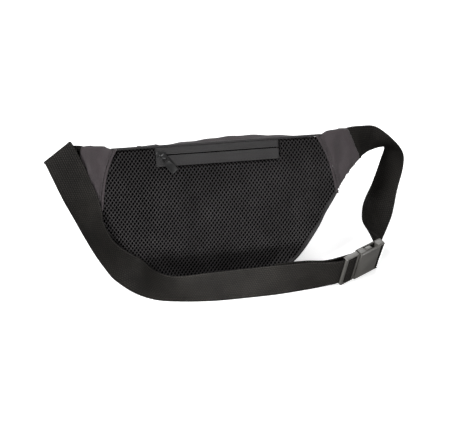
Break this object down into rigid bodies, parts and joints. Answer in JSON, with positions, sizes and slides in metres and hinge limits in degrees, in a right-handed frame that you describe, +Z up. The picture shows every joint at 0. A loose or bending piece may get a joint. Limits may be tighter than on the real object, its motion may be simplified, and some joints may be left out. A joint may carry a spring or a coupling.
{
  "type": "waist pack",
  "caption": "Waist pack with a smile-shaped padded mesh back, wings, three zipped compartments, sliding pulls and a webbing belt joined by a side-release buckle.",
  "frame": {"origin": "middle of the pack's box at floor level", "axes": "+Z up; +X to the buckle side; -Y is the side worn against the body, leaning back by 30 degrees"},
  "size_m": [0.409, 0.1662, 0.1505],
  "materials": {
    "mesh": "black spacer air mesh",
    "foam": "closed-cell foam padding",
    "shell_cloth": "woven plum-black polyester",
    "lining_cloth": "thin woven lining",
    "webbing": "woven nylon webbing",
    "moulded_plastic": "satin moulded acetal",
    "zip_tape": "woven zip tape",
    "zip_coil": "nylon coil",
    "zip_metal": "black enamelled zinc"
  },
  "bodies": {
    "bag": {"back_mesh_panel": "mesh", "back_foam_pad": "foam", "edge_binding": "shell_cloth", "wing_left": "shell_cloth", "wing_right": "shell_cloth", "side_gusset": "shell_cloth", "top_gusset": "shell_cloth", "front_panel": "shell_cloth", "front_pocket": "shell_cloth", "rear_pocket_pouch": "lining_cloth", "main_lining": "lining_cloth", "belt_left": "webbing", "belt_right": "webbing", "buckle_socket": "moulded_plastic", "rear_zip_tape_lower": "zip_tape", "rear_zip_tape_upper": "zip_tape", "rear_zip_coils": "zip_coil", "rear_zip_stops": "zip_metal", "main_zip_tape_lower": "zip_tape", "main_zip_tape_upper": "zip_tape", "main_zip_coils": "zip_coil", "main_zip_stops": "zip_metal", "pocket_zip_tape_lower": "zip_tape", "pocket_zip_tape_upper": "zip_tape", "pocket_zip_coils": "zip_coil", "pocket_zip_stops": "zip_metal"},
    "rear_slider": {"rear_zip_slider": "zip_metal"},
    "rear_pull": {"rear_zip_pull": "moulded_plastic"},
    "main_slider": {"main_zip_slider": "zip_metal"},
    "main_pull": {"main_zip_pull": "moulded_plastic"},
    "pocket_slider": {"pocket_zip_slider": "zip_metal"},
    "pocket_pull": {"pocket_zip_pull": "moulded_plastic"},
    "plug": {"buckle_plug": "moulded_plastic"},
    "prong_lower": {"buckle_prong_lower": "moulded_plastic"},
    "prong_upper": {"buckle_prong_upper": "moulded_plastic"}
  },
  "joints": [
    {"name": "rear_slider_slide", "type": "slide", "parent": "bag", "child": "rear_slider", "axis": [1, 0, 0], "range_m": [0, 0.124]},
    {"name": "rear_pull_lift", "type": "hinge", "parent": "rear_slider", "child": "rear_pull", "pos_m": [-0.0765, 0.01454, 0.13169], "axis": [-0.7986, -0.3009, -0.5212], "range_deg": [0, 170]},
    {"name": "main_slider_slide", "type": "slide", "parent": "bag", "child": "main_slider", "axis": [1, 0, 0], "range_m": [0, 0.172]},
    {"name": "main_pull_lift", "type": "hinge", "parent": "main_slider", "child": "main_pull", "pos_m": [-0.0985, 0.05757, 0.11644], "axis": [-0.5, -0.6705, 0.5482], "range_deg": [0, 170]},
    {"name": "pocket_slider_slide", "type": "slide", "parent": "bag", "child": "pocket_slider", "axis": [-1, 0, 0], "range_m": [0, 0.088]},
    {"name": "pocket_pull_lift", "type": "hinge", "parent": "pocket_slider", "child": "pocket_pull", "pos_m": [0.0275, 0.07728, 0.05136], "axis": [0.5, -0.433, -0.75], "range_deg": [0, 170]},
    {"name": "buckle_release", "type": "slide", "parent": "bag", "child": "plug", "axis": [-0.866, -0.5, 0], "range_m": [0, 0.027], "deforming": ["belt_left", "buckle_prong_lower", "buckle_prong_upper"]},
    {"name": "prong_lower_press", "type": "hinge", "parent": "plug", "child": "prong_lower", "pos_m": [0.12719, -0.0641, 0.01118], "axis": [0.4891, -0.8471, -0.2079], "range_deg": [0, 8], "stiffness_Nm_per_rad": 0.3},
    {"name": "prong_upper_press", "type": "hinge", "parent": "plug", "child": "prong_upper", "pos_m": [0.12947, -0.06806, 0.0327], "axis": [-0.4891, 0.8471, 0.2079], "range_deg": [0, 8], "stiffness_Nm_per_rad": 0.3}
  ]
}
